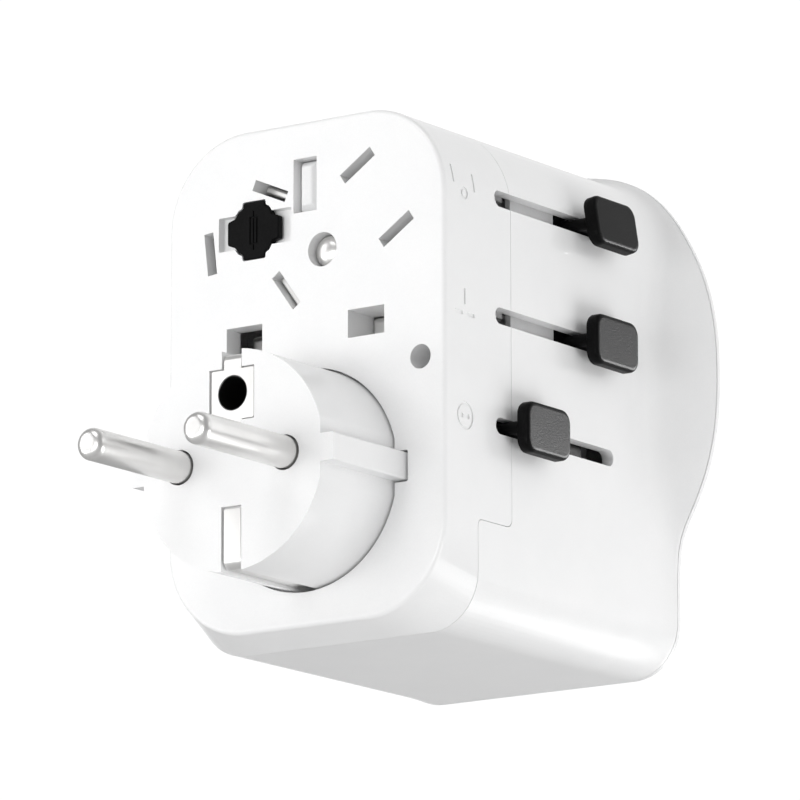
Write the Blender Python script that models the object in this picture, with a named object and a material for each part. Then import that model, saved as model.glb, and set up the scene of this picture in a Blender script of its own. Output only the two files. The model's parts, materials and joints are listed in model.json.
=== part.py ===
"""Universal travel adapter: a white moulded body whose wall side carries four sliding plug sets
(US, UK, AU and a round European module) and whose other side is a recessed socket in a flared flange.

Frame: +Z up, the body stands on its flat underside at Z = 0. X is across the wall face, Y runs from the
wall face (-Y) to the socket side (+Y), and Y = 0 is the middle of the body's depth. The script's numbers
are millimetres; every mesh is built in metres.
"""
import math

import bmesh
import bpy
from mathutils import Matrix, Vector

MM = 0.001

# ---- driving dimensions, millimetres --------------------------------------------------------------
DEPTH = 61.0                 # wall face to socket face
FRONT = -DEPTH / 2
REAR = DEPTH / 2
HALF_WIDTH = 25.2
HEIGHT = 77.65
CORNER = 14.0                # radius of the body's upper corners, and of all four at the wall face
LOW_CORNER = 8.2             # radius of the lower corners behind the lower seam
LOW_RISE = 1.35              # how far the underside slopes up from the lower seam to the wall face
EDGE = 0.7                   # rounding of the wall face's rim
WALL = 2.0
GAP = 0.3                    # clearance between pieces that touch

FLANGE_Z = 45.75             # height of the flange's and the socket's axis
FLANGE_HALF_WIDTH = 33.6
FLANGE_HALF_HEIGHT = 34.3
FLANGE_POWER = 2.3           # superellipse exponent of the flange outline
FLANGE_BLEND = 24            # sharpness of the blend between body and flange
FLARE_START = 49.5           # distance behind the wall face where the flare begins
FLARE_POWER = 1.9
FLARE_ROOT = 0.72            # the flare's size where it leaves the body, as a part of the flange's
RIM = 0.9                    # thickness of the rear plate at the rim
LIP = 0.8                    # how far the flange's rim stands out along the body's lower sides

UPPER_SEAM = 17.05           # depth of the front cover above the step in the seam
LOWER_SEAM = 8.3
STEP_Z = 15.9

TRAVEL = 18.4                # stroke of every slide
SLOT_NEAR, SLOT_FAR = 13.0, 44.0    # ends of the side slots, behind the wall face
SLOT_HEIGHT = 2.5
US_SLOT_Z, UK_SLOT_Z, EU_SLOT_Z, AU_SLOT_Z = 65.05, 47.3, 30.72, 56.5
SLOT_ROWS = ((US_SLOT_Z, 1), (UK_SLOT_Z, 1), (EU_SLOT_Z, 1), (AU_SLOT_Z, -1))   # height and side wall

UK_Z = 45.75                 # row of the UK line and neutral pins
UK_SPACING = 11.1
UK_EARTH_RISE = 22.2
US_CENTRE, US_ANGLE = (13.05, 64.24), math.radians(33.5)
US_SPACING, US_GROUND = 6.35, 11.86
AU_CENTRE, AU_ANGLE = (-9.57, 60.65), math.radians(36.5)
AU_OFFSET, AU_RISE, AU_EARTH = 6.86, 3.96, 10.31
BLADE_SLOT = (6.5, 1.7)
BLADE = (6.2, 1.45)
UK_PIN, UK_PIN_SLOT = (6.25, 3.9), (6.58, 4.24)
UK_EARTH, UK_EARTH_SLOT = (3.9, 7.9), (4.24, 8.24)
GROUND_RADIUS, GROUND_HOLE = 2.35, 2.6
US_SUNK, US_GROUND_SUNK = 5.2, 0.8          # how far behind the wall face each retracted tip lies
UK_SUNK, UK_EARTH_SUNK = 5.4, 0.4
AU_SUNK = (2.6, 3.8, 1.3)

EU_Z = 23.27                 # axis of the round European module
EU_RADIUS, EU_FLAT = 16.45, 15.9
EU_LUG, EU_LUG_HALF = 18.25, 2.05
EU_EXTENSION = 18.03         # how far its face stands out at rest
EU_PIN_SPACING, EU_PIN_RADIUS, EU_PIN_LENGTH = 9.5, 2.4, 21.8

SOCKET_RADIUS, SOCKET_DEPTH = 19.6, 12.0
FUSE_X, FUSE_Z = -9.4, 62.33
FUSE_BORE = 3.35             # hole in the wall face under the fuse cap
FUSE_RECESS = (13.4, 5.2)    # shallow finger recess across the fuse cap
FUSE_RECESS_DEPTH = 1.4
SCREW_X, SCREW_Z = 20.85, 39.2
SCREW_BOSS, SCREW_WELL, SCREW_SHAFT = 2.8, 1.83, 1.2     # radii around each cover screw

CARRIAGE_NEAR, CARRIAGE_FAR = -3.0, 0.0     # plate of a retracted carriage, in Y
RAIL_X = (18.6, 20.1)
TONGUE_X = (20.7, 21.1)      # fixed tongue behind the front part of each side slot
BACKING_X = (21.4, 22.4)
TONGUE_FAR = -9.8            # rear end of the tongues, in Y
APRON_NEAR, APRON_FAR = -9.5, 1.9   # white strip that closes the slot in front of a retracted slider
TUNNEL_WALL = 0.8            # wall of the guide tunnels behind the wall face's openings
KNOB_LENGTH, KNOB_HEIGHT = 11.4, 7.7
KNOB_X = (27.1, 29.2)
KNOB_Y = 9.15                # centre of a retracted knob

ANGLES = 96                  # points around the body's outline
ROUND = 40                   # sides of a turned piece


# ---- finishes -------------------------------------------------------------------------------------
FINISHES = {
    "white_plastic": ((0.83, 0.83, 0.83), 0.28, 0.0),
    "inner_plastic": ((0.72, 0.72, 0.72), 0.45, 0.0),
    "black_plastic": ((0.018, 0.018, 0.019), 0.5, 0.0),
    "nickel": ((0.72, 0.71, 0.69), 0.22, 1.0),
    "brass": ((0.78, 0.60, 0.30), 0.3, 1.0),
    "spring_steel": ((0.50, 0.50, 0.52), 0.3, 1.0),
    "ceramic": ((0.85, 0.83, 0.78), 0.35, 0.0),
}


def make_material(name, finish):
    colour, roughness, metallic = FINISHES[finish]
    material = bpy.data.materials.new(name + "_" + finish)
    material.use_nodes = True
    shader = material.node_tree.nodes["Principled BSDF"]
    shader.inputs["Base Color"].default_value = (*colour, 1.0)
    shader.inputs["Roughness"].default_value = roughness
    shader.inputs["Metallic"].default_value = metallic
    return material


# ---- outlines -------------------------------------------------------------------------------------
def arc(centre, radius, start, end, steps):
    """Points on an arc, angles in degrees, both ends included."""
    points = []
    for i in range(steps + 1):
        angle = math.radians(start + (end - start) * i / steps)
        points.append((centre[0] + radius * math.cos(angle), centre[1] + radius * math.sin(angle)))
    return points


def circle(centre, radius, sides=ROUND):
    return arc(centre, radius, 0, 360 - 360 / sides, sides - 1)


def rectangle(centre, width, height, turn=0.0, radius=0.0, steps=4):
    """A rectangle, turned by an angle in radians, with rounded corners when it has a radius."""
    half_w, half_h = width / 2, height / 2
    if radius:
        points = []
        corners = ((1, 1, 0), (-1, 1, 90), (-1, -1, 180), (1, -1, 270))
        for sx, sy, start in corners:
            centre_xy = (sx * (half_w - radius), sy * (half_h - radius))
            points += arc(centre_xy, radius, start, start + 90, steps)
    else:
        points = [(half_w, half_h), (-half_w, half_h), (-half_w, -half_h), (half_w, -half_h)]
    c, s = math.cos(turn), math.sin(turn)
    return [(centre[0] + c * x - s * y, centre[1] + s * x + c * y) for x, y in points]


def module_outline(grow=0.0, lugs=True):
    """The European module's outline: a circle with two flats, and a lug on each flat."""
    radius, flat = EU_RADIUS + grow, EU_FLAT + grow
    half_angle = math.degrees(math.acos(flat / radius))
    lug, lug_half = EU_LUG + grow, EU_LUG_HALF + grow
    points = []
    for side in (0, 180):
        sign = 1 if side == 0 else -1
        if lugs:
            points += [(sign * flat, EU_Z - sign * lug_half), (sign * lug, EU_Z - sign * lug_half)]
            points += [(sign * lug, EU_Z + sign * lug_half), (sign * flat, EU_Z + sign * lug_half)]
        points += arc((0, EU_Z), radius, side + half_angle, side + 180 - half_angle, ROUND // 2)
    return points


def body_radius(angle, behind, inset):
    """Distance from the flange's axis to the body's surface at a depth behind the wall face."""
    c, s = math.cos(angle), math.sin(angle)
    drawn_in = 1 - min(behind / LOWER_SEAM, 1.0)
    rise = min(max((behind - FLARE_START) / (DEPTH - RIM - FLARE_START), 0.0), 1.0)
    low_corner = LOW_CORNER + (CORNER - LOW_CORNER) * drawn_in
    half_w, radius = HALF_WIDTH + LIP * rise ** 3 - inset, (CORNER if s > 0 else low_corner) - inset
    top, bottom = HEIGHT - inset - FLANGE_Z, inset + LOW_RISE * drawn_in - FLANGE_Z
    reach_w = half_w / abs(c) if abs(c) > 1e-9 else 1e9
    reach_h = (top if s > 0 else bottom) / s if abs(s) > 1e-9 else 1e9
    body = min(reach_w, reach_h)
    centre_x = half_w - radius
    centre_z = top - radius if s > 0 else bottom + radius
    if abs(c) * body > centre_x and abs(s) * body > abs(centre_z):
        along = abs(c) * centre_x + abs(s) * abs(centre_z)
        across = centre_x ** 2 + centre_z ** 2 - along ** 2
        body = along + math.sqrt(radius ** 2 - across)
    if rise <= 0:
        return body
    across, upright = abs(c) / FLANGE_HALF_WIDTH, abs(s) / FLANGE_HALF_HEIGHT
    full = (across ** FLANGE_POWER + upright ** FLANGE_POWER) ** (-1 / FLANGE_POWER)
    flange = (FLARE_ROOT + (1 - FLARE_ROOT) * rise ** FLARE_POWER) * full - inset
    return (body ** FLANGE_BLEND + flange ** FLANGE_BLEND) ** (1 / FLANGE_BLEND)


def body_outline(behind, inset=0.0):
    points = []
    for i in range(ANGLES):
        angle = 2 * math.pi * i / ANGLES
        radius = body_radius(angle, behind, inset)
        points.append((radius * math.cos(angle), FLANGE_Z + radius * math.sin(angle)))
    return points


# ---- solids ---------------------------------------------------------------------------------------
def loft(rings):
    """A closed solid through rings of (outline, y); each outline runs counter-clockwise in X and Z."""
    mesh = bmesh.new()
    loops = []
    for outline, y in rings:
        loops.append([mesh.verts.new((x * MM, y * MM, z * MM)) for x, z in outline])
    mesh.faces.new(loops[0])
    mesh.faces.new(list(reversed(loops[-1])))
    count = len(loops[0])
    for near, far in zip(loops, loops[1:]):
        for i in range(count):
            j = (i + 1) % count
            mesh.faces.new((near[i], far[i], far[j], near[j]))
    bmesh.ops.recalc_face_normals(mesh, faces=mesh.faces)
    return mesh


def prism(outline, near, far):
    return loft([(outline, near), (outline, far)])


def box(xs, ys, zs):
    outline = [(xs[0], zs[0]), (xs[1], zs[0]), (xs[1], zs[1]), (xs[0], zs[1])]
    return prism(outline, ys[0], ys[1])


def sideways(mesh):
    """Swap X and Y, so that what was built along Y lies along X."""
    swap = Matrix(((0, 1, 0, 0), (1, 0, 0, 0), (0, 0, 1, 0), (0, 0, 0, 1)))
    bmesh.ops.transform(mesh, matrix=swap, verts=mesh.verts)
    bmesh.ops.recalc_face_normals(mesh, faces=mesh.faces)
    return mesh


def prism_x(outline, low, high):
    """An outline in Y and Z, extruded along X."""
    return sideways(prism(outline, low, high))


def turned(centre, profile, sides=ROUND):
    """A solid turned about a Y axis at centre; profile is a list of (radius, y) from end to end."""
    mesh = bmesh.new()
    loops = []
    for radius, y in profile:
        ring = circle(centre, radius, sides)
        loops.append([mesh.verts.new((x * MM, y * MM, z * MM)) for x, z in ring])
    mesh.faces.new(loops[0])
    mesh.faces.new(list(reversed(loops[-1])))
    for near, far in zip(loops, loops[1:]):
        for i in range(sides):
            j = (i + 1) % sides
            mesh.faces.new((near[i], far[i], far[j], near[j]))
    bmesh.ops.recalc_face_normals(mesh, faces=mesh.faces)
    return mesh


def tube(centre, outer, inner, near, far, sides=ROUND):
    """An open tube along Y."""
    mesh = bmesh.new()
    loops = []
    for radius, y in ((outer, near), (outer, far), (inner, far), (inner, near)):
        ring = circle(centre, radius, sides)
        loops.append([mesh.verts.new((x * MM, y * MM, z * MM)) for x, z in ring])
    for k in range(4):
        near_loop, far_loop = loops[k], loops[(k + 1) % 4]
        for i in range(sides):
            j = (i + 1) % sides
            mesh.faces.new((near_loop[i], far_loop[i], far_loop[j], near_loop[j]))
    bmesh.ops.recalc_face_normals(mesh, faces=mesh.faces)
    return mesh


def coil(centre, radius, wire, near, far, turns, sides=5, steps=10):
    """A helical spring about a Y axis."""
    mesh = bmesh.new()
    total = turns * steps
    pitch = (far - near - 2 * wire) / turns
    loops = []
    for k in range(total + 1):
        angle = 2 * math.pi * k / steps
        out = Vector((math.cos(angle), 0, math.sin(angle)))
        run = Vector((-math.sin(angle) * radius, pitch / (2 * math.pi), math.cos(angle) * radius))
        side = run.normalized().cross(out)
        middle = Vector((centre[0], near + wire + pitch * k / steps, centre[1])) + out * radius
        loop = []
        for i in range(sides):
            turn = 2 * math.pi * i / sides
            point = middle + (out * math.cos(turn) + side * math.sin(turn)) * wire
            loop.append(mesh.verts.new(point * MM))
        loops.append(loop)
    mesh.faces.new(loops[0])
    mesh.faces.new(list(reversed(loops[-1])))
    for first, second in zip(loops, loops[1:]):
        for i in range(sides):
            j = (i + 1) % sides
            mesh.faces.new((first[i], second[i], second[j], first[j]))
    bmesh.ops.recalc_face_normals(mesh, faces=mesh.faces)
    return mesh


def merge(*meshes):
    """One bmesh holding several closed bodies, for use as a cutter."""
    target = bmesh.new()
    for source in meshes:
        copy = {vert: target.verts.new(vert.co) for vert in source.verts}
        for face in source.faces:
            target.faces.new([copy[vert] for vert in face.verts])
        source.free()
    return target


def place(name, mesh, finish=None, parent=None):
    data = bpy.data.meshes.new(name)
    mesh.to_mesh(data)
    mesh.free()
    thing = bpy.data.objects.new(name, data)
    bpy.context.scene.collection.objects.link(thing)
    if finish:
        data.materials.append(make_material(name, finish))
        data.shade_smooth()
        data.set_sharp_from_angle(angle=math.radians(30))
    if parent:
        thing.parent = parent
        thing.matrix_parent_inverse = parent.matrix_world.inverted()
    return thing


def boolean(target, operation, mesh):
    """Cut or add a shape; the tool stays in the file as a hidden wire object."""
    tool = place(target.name + "_tool", mesh, parent=target.parent)
    tool.hide_render = True
    tool.display_type = "WIRE"
    modifier = target.modifiers.new(operation.lower(), "BOOLEAN")
    modifier.operation = operation
    modifier.object = tool


def cut(target, *meshes):
    boolean(target, "DIFFERENCE", merge(*meshes))


def add(target, *meshes):
    for mesh in meshes:
        boolean(target, "UNION", mesh)


def guide(name, position):
    """An empty that carries one moving set, on its joint's axis."""
    empty = bpy.data.objects.new(name, None)
    empty.location = Vector(position) * MM
    bpy.context.scene.collection.objects.link(empty)
    bpy.context.view_layer.update()
    return empty


# ---- plug patterns --------------------------------------------------------------------------------
def offset(centre, angle, along, across):
    c, s = math.cos(angle), math.sin(angle)
    return (centre[0] + c * along - s * across, centre[1] + s * along + c * across)


def us_points():
    """The US blades' centres and the ground pin's centre."""
    blades = [offset(US_CENTRE, US_ANGLE, 0, sign * US_SPACING) for sign in (1, -1)]
    return blades, offset(US_CENTRE, US_ANGLE, -US_GROUND, 0)


def au_points():
    """The AU blades as (centre, turn): the two slanted ones, then the earth blade."""
    right = (offset(AU_CENTRE, AU_ANGLE, AU_OFFSET, AU_RISE), AU_ANGLE + math.radians(120))
    left = (offset(AU_CENTRE, AU_ANGLE, -AU_OFFSET, AU_RISE), AU_ANGLE + math.radians(60))
    earth = (offset(AU_CENTRE, AU_ANGLE, 0, -AU_EARTH), AU_ANGLE + math.radians(90))
    return right, left, earth


# ---- the casing -----------------------------------------------------------------------------------
def shell_rings(near, far, inset=0.0):
    """Rings from one depth to another; the wall face's rim is rounded when the shell starts there."""
    depths = [LOWER_SEAM, FLARE_START, 52.0, 54.5, 56.5, 58.2, 59.3]
    rings = []
    if near == 0.0:
        rings.append((body_outline(0, inset + EDGE), FRONT))
        rings.append((body_outline(0, inset + EDGE * 0.3), FRONT + EDGE * 0.3))
        rings.append((body_outline(0, inset), FRONT + EDGE))
    else:
        rings.append((body_outline(near, inset), FRONT + near))
    for depth in depths:
        if near + 0.5 < depth < far - 0.2:
            rings.append((body_outline(depth, inset), FRONT + depth))
    rings.append((body_outline(far, inset), FRONT + far))
    return rings


def seam_region(behind):
    """The space behind (or in front of) the stepped seam, with half of the seam's gap added."""
    shift = -GAP / 2 if behind else GAP / 2
    upper, lower = FRONT + UPPER_SEAM + shift, FRONT + LOWER_SEAM + shift
    step = STEP_Z - shift
    far = REAR + 5 if behind else FRONT - 5
    outline = [(lower, -5), (far, -5), (far, HEIGHT + 8), (upper, HEIGHT + 8), (upper, step), (lower, step)]
    return prism_x(outline, -60, 60)


def side_slot(height, side):
    """A round-ended slot through a side wall."""
    near, far = FRONT + SLOT_NEAR, FRONT + SLOT_FAR
    outline = rectangle(((near + far) / 2, height), far - near, SLOT_HEIGHT, radius=SLOT_HEIGHT / 2 - 0.01)
    return prism_x(outline, *sorted((side * 17, side * 34)))


def side_slots():
    return [side_slot(height, side) for height, side in SLOT_ROWS]


def fuse_cap_outline(grow=0.0):
    """The fuse cap: an eight-sided disc with square lugs above and below and a wide one at the left."""
    half, lug, side = 3.2 + grow, 2.0 + grow, 1.75 + grow
    reach_x, reach_z = 4.85 + grow, 4.35 + grow
    right = [(reach_x - 0.3, -side), (reach_x - 0.3, side), (3.4 + grow, side + 0.2), (lug + 0.7, half)]
    top = [(lug, half + 0.3), (lug, reach_z), (-lug, reach_z), (-lug, half + 0.3)]
    left = [(-lug - 0.7, half), (-3.6 - grow, side + 0.4), (-reach_x, side), (-reach_x, -side)]
    low_left = [(-3.6 - grow, -side - 0.4), (-lug - 0.7, -half)]
    bottom = [(-lug, -half - 0.3), (-lug, -reach_z), (lug, -reach_z), (lug, -half - 0.3)]
    low_right = [(lug + 0.7, -half), (3.4 + grow, -side - 0.2)]
    points = right + top + left + low_left + bottom + low_right
    return [(FUSE_X + x, FUSE_Z + z) for x, z in points]


def tunnels():
    """Guide tunnels behind the pin and blade openings of the wall face."""
    near, grow = FRONT + WALL - 0.5, 2 * TUNNEL_WALL
    shapes = []
    for sign, depth in ((1, 6.6), (-1, 3.4)):
        width, height = UK_PIN_SLOT
        shapes.append((rectangle((sign * UK_SPACING, UK_Z), width + grow, height + grow), depth))
    width, height = UK_EARTH_SLOT
    shapes.append((rectangle((0, UK_Z + UK_EARTH_RISE), width + grow, height + grow), 5.0))
    blades, ground = us_points()
    for centre in blades:
        shapes.append((rectangle(centre, BLADE_SLOT[0] + grow, BLADE_SLOT[1] + grow, turn=US_ANGLE), 4.0))
    shapes.append((circle(ground, GROUND_HOLE + TUNNEL_WALL, 32), 5.0))
    for (centre, turn), depth in zip(au_points(), (4.0, 2.3, 4.0)):
        shapes.append((rectangle(centre, BLADE_SLOT[0] + grow, BLADE_SLOT[1] + grow, turn=turn), depth))
    return [prism(outline, near, FRONT + depth) for outline, depth in shapes]


def tongues():
    """Thin tongues moulded to the cover's inside, one behind each side slot."""
    pieces = []
    for height, side in SLOT_ROWS:
        xs = tuple(sorted(side * x for x in TONGUE_X))
        pieces.append(box(xs, (FRONT + WALL - 0.5, TONGUE_FAR), (height - 1.1, height + 2.6)))
    return pieces


def wall_face_cutters():
    near, far = FRONT - 3, FRONT + 8
    cutters = []
    for sign in (1, -1):
        cutters.append(prism(rectangle((sign * UK_SPACING, UK_Z), *UK_PIN_SLOT), near, far))
    cutters.append(prism(rectangle((0, UK_Z + UK_EARTH_RISE), *UK_EARTH_SLOT), near, far))
    blades, ground = us_points()
    for centre in blades:
        cutters.append(prism(rectangle(centre, *BLADE_SLOT, turn=US_ANGLE), near, far))
    cutters.append(prism(circle(ground, GROUND_HOLE), near, far))
    for centre, turn in au_points():
        cutters.append(prism(rectangle(centre, *BLADE_SLOT, turn=turn), near, far))
    cutters.append(prism(module_outline(grow=GAP), near, far))
    return cutters


def shell(near, far, inset=0.0):
    """The lofted body between two depths, its warped corner faces split into triangles."""
    mesh = loft(shell_rings(near, far, inset))
    quads = [face for face in mesh.faces if len(face.verts) == 4]
    bmesh.ops.triangulate(mesh, faces=quads)
    return mesh


def build_front_cover():
    cover = place("front_cover", shell(0.0, 30.0), "white_plastic")
    inner = [(body_outline(0, WALL), FRONT + WALL + 0.2), (body_outline(0, WALL), FRONT + 35)]
    cut(cover, loft(inner))
    cut(cover, seam_region(True))
    for side in (1, -1):
        boss = prism(circle((side * SCREW_X, SCREW_Z), SCREW_BOSS, 24), FRONT + WALL - 0.5, FRONT + 16.9)
        add(cover, boss)
    add(cover, *tunnels(), *tongues())
    cut(cover, *wall_face_cutters())
    cut(cover, *side_slots())
    near, recess_floor = FRONT - 1, FRONT + FUSE_RECESS_DEPTH
    cut(cover, prism(rectangle((FUSE_X + 0.18, FUSE_Z), *FUSE_RECESS), near, recess_floor))
    cut(cover, prism(fuse_cap_outline(0.15), near, recess_floor))
    cut(cover, prism(circle((FUSE_X, FUSE_Z), FUSE_BORE, 24), near, FRONT + 6))
    for side in (1, -1):
        centre = (side * SCREW_X, SCREW_Z)
        cut(cover, prism(circle(centre, SCREW_WELL, 24), near, FRONT + 8.9))
        cut(cover, prism(circle(centre, SCREW_SHAFT, 24), FRONT + 8, FRONT + 20))


def build_main_housing():
    housing = place("main_housing", shell(2.0, DEPTH - RIM - GAP), "white_plastic")
    cut(housing, shell(1.0, DEPTH + 2.0, WALL))
    cut(housing, seam_region(False))
    cut(housing, *side_slots())
    post_near, post_far, post_half = FRONT + 17.4, FRONT + 23, 2.4
    for side in (1, -1):
        xs = sorted((side * (HALF_WIDTH - 1.0), side * (SCREW_X - post_half)))
        add(housing, box(xs, (post_near, post_far), (SCREW_Z - post_half, SCREW_Z + post_half)))
        cut(housing, prism(circle((side * SCREW_X, SCREW_Z), 1.3, 24), post_near - 1, post_far - 1))


def socket_apertures():
    """Openings of the socket's floor: one shaped opening for each pole and a slot for the earth pin."""
    near, far = REAR - SOCKET_DEPTH - 4, REAR - SOCKET_DEPTH + 2
    poles = []
    for side in (1, -1):
        poles.append(prism(rectangle((side * 10.9, FLANGE_Z), 7.6, 5.0, radius=0.8), near, far))
    crossings = []
    for side in (1, -1):
        outline = rectangle((side * 6.5, FLANGE_Z), 2.3, 7.4, turn=side * math.radians(15), radius=0.4)
        crossings.append(prism(outline, near, far))
    earth = prism(rectangle((0, FLANGE_Z + 12.2), 5.4, 7.4, radius=1.8), near, far)
    return poles, crossings, earth


def build_rear_plate():
    outer = body_outline(DEPTH)
    rounding = 0.4
    rim = [(outer, REAR - RIM), (outer, REAR - rounding), (body_outline(DEPTH, rounding), REAR)]
    plate = place("rear_plate", loft(rim), "white_plastic")
    floor_near = REAR - SOCKET_DEPTH - 2.0
    add(plate, prism(circle((0, FLANGE_Z), SOCKET_RADIUS + 0.9, 64), floor_near, REAR - 0.6))
    cut(plate, prism(circle((0, FLANGE_Z), SOCKET_RADIUS, 64), REAR - SOCKET_DEPTH, REAR + 2))
    poles, crossings, earth = socket_apertures()
    cut(plate, *poles, earth)
    cut(plate, *crossings)


def strip(path, thickness):
    """A bent strip's outline in Y and Z: the path's points offset to one side."""
    left, right = [], []
    for i, point in enumerate(path):
        before = Vector(path[max(i - 1, 0)])
        after = Vector(path[min(i + 1, len(path) - 1)])
        run = (after - before).normalized()
        across = Vector((-run.y, run.x)) * thickness / 2
        left.append(tuple(Vector(point) + across))
        right.append(tuple(Vector(point) - across))
    return left + list(reversed(right))


def contact_outline(low, high):
    """A U of sheet metal in Y and Z, open towards the socket, that a plug's pin slides into."""
    near, far, sheet = 3.4, 13.4, 0.5
    lower = [(near, low), (far, low), (far, low + sheet), (near + sheet, low + sheet)]
    upper = [(near + sheet, high - sheet), (far, high - sheet), (far, high), (near, high)]
    return lower + upper


def build_socket_parts():
    for name, sign in (("socket_earth_clip_top", 1), ("socket_earth_clip_bottom", -1)):
        wall = SOCKET_RADIUS - 0.75
        bow = [(19.2, wall), (22.0, wall - 0.2), (24.0, wall - 1.2), (26.0, wall - 0.2), (28.6, wall - 0.1)]
        path = [(y, FLANGE_Z + sign * z) for y, z in bow]
        place(name, prism_x(strip(path, 0.5), -2.4, 2.4), "nickel")
    carrier = place("contact_carrier", box((-17.2, 17.2), (1.0, 14.0), (39.0, 61.0)), "inner_plastic")
    pockets = [box((side * 10 - 6.2, side * 10 + 6.2), (3.0, 16), (40.6, 50.9)) for side in (1, -1)]
    pockets.append(box((-3.2, 3.2), (3.0, 16), (52.5, 60.0)))
    cut(carrier, *pockets)
    for x in (-6.0, 6.0):
        add(carrier, box((x - 1.6, x + 1.6), (13.0, 16.2), (56.0, 57.4)))
    for name, side in (("line_socket_contact", 1), ("neutral_socket_contact", -1)):
        place(name, prism_x(contact_outline(41.6, 49.9), side * 10 - 5.2, side * 10 + 5.2), "brass")
    place("earth_socket_contact", prism_x(contact_outline(53.2, 59.3), -2.2, 2.2), "brass")


def build_shutter():
    """The sliding shutter just behind the socket's floor, and its two return springs."""
    carrier = guide("shutter_guide", (0, 15.3, FLANGE_Z))
    outline = rectangle((0, FLANGE_Z - 1.0), 34.0, 13.0, radius=1.0)
    shutter = place("socket_shutter", prism(outline, 14.7, 15.9), "inner_plastic", carrier)
    windows = [prism(rectangle((side * 10.4, FLANGE_Z - 5.2), 9.6, 3.4), 13, 17) for side in (1, -1)]
    cut(shutter, *windows)
    for name, x in (("shutter_spring_right", 6.0), ("shutter_spring_left", -6.0)):
        spring = coil((0, 0), 0.75, 0.16, 0.0, 4.2, 5)
        seat = Vector((x, 15.3, FLANGE_Z + 5.8)) * MM
        turn = Matrix.Translation(seat) @ Matrix.Rotation(math.radians(90), 4, "X")
        bmesh.ops.transform(spring, matrix=turn, verts=spring.verts)
        place(name, spring, "spring_steel")


# ---- the sliding sets -----------------------------------------------------------------------------
def build_slider(name, height, side, shift, tilt, carrier):
    """Knob, neck and backing plate in one black moulding; side is 1 at the right wall, -1 at the left."""
    knob_y = KNOB_Y + shift
    front = knob_y - KNOB_LENGTH / 2 + 0.15
    backing = box(BACKING_X, (front - 1.4, front + 23.8), (height - 2.0, height + 2.0))
    neck_outline = rectangle((front + 4.75, height), 9.5, SLOT_HEIGHT - 0.6, radius=0.9)
    neck = prism_x(neck_outline, BACKING_X[1] - 0.4, KNOB_X[0] + 0.6)
    knob_outline = rectangle((knob_y, height), KNOB_LENGTH, KNOB_HEIGHT, radius=2.0, steps=5)
    face_outline = rectangle((knob_y, height), KNOB_LENGTH - 0.7, KNOB_HEIGHT - 0.7, radius=1.7, steps=5)
    rings = [(knob_outline, KNOB_X[0]), (knob_outline, KNOB_X[1] - 0.35), (face_outline, KNOB_X[1])]
    knob = sideways(loft(rings))
    if tilt:
        pivot = Vector((HALF_WIDTH, knob_y, height)) * MM
        turn = Matrix.Translation(pivot) @ Matrix.Rotation(-tilt, 4, "Y") @ Matrix.Translation(-pivot)
        bmesh.ops.transform(knob, matrix=turn, verts=knob.verts)
    if side < 0:
        for mesh in (backing, neck, knob):
            bmesh.ops.transform(mesh, matrix=Matrix.Scale(-1, 4, (1, 0, 0)), verts=mesh.verts)
            bmesh.ops.recalc_face_normals(mesh, faces=mesh.faces)
    slider = place(name, backing, "black_plastic", carrier)
    add(slider, neck, knob)


def rail(height, side, shift=0.0):
    """A carriage's rail, with the white apron that fills the slot in front of the slider."""
    def across(low, high):
        return tuple(sorted((side * low, side * high)))
    ys = (APRON_NEAR + shift, APRON_FAR + shift)
    bar = box(across(*RAIL_X), (APRON_NEAR + shift, 12.0 + shift), (height - 2.2, height + 2.2))
    foot = box(across(RAIL_X[1] - 0.3, BACKING_X[0] + 0.3), ys, (height - 2.0, height - 1.4))
    apron = box(across(*BACKING_X), ys, (height - 2.0, height + 2.0))
    return bar, foot, apron


def blade(centre, turn, sunk):
    """A flat blade with a tapered tip, which lies a depth behind the wall face."""
    tip = FRONT + sunk
    outline = rectangle(centre, *BLADE, turn=turn)
    thin = rectangle(centre, BLADE[0] - 0.8, BLADE[1] - 0.7, turn=turn)
    return loft([(thin, tip), (outline, tip + 1.0), (outline, CARRIAGE_NEAR - GAP)])


def build_us_set():
    carrier = guide("us_guide", (US_CENTRE[0], 0, US_CENTRE[1]))
    build_slider("us_slider", US_SLOT_Z, 1, 0, math.radians(9), carrier)
    plate = [(0.75, 55.0), (13.0, 54.6), (19.5, 55.2), (19.5, 66.8), (13.6, 72.4), (6.2, 72.6),
             (5.0, 69.0), (5.2, 62.0), (0.75, 60.6)]
    carriage = place("us_carriage", prism(plate, CARRIAGE_NEAR, CARRIAGE_FAR), "inner_plastic", carrier)
    add(carriage, *rail(US_SLOT_Z, 1))
    blades, ground = us_points()
    for name, centre in zip(("us_line_blade", "us_neutral_blade"), blades):
        place(name, blade(centre, US_ANGLE, US_SUNK), "nickel", carrier)
    tip, radius = FRONT + US_GROUND_SUNK, GROUND_RADIUS
    profile = [(0.8, tip), (1.7, tip + 0.3), (radius, tip + 1.3), (radius, CARRIAGE_NEAR - GAP)]
    place("us_ground_pin", turned(ground, profile, 24), "nickel", carrier)


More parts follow.
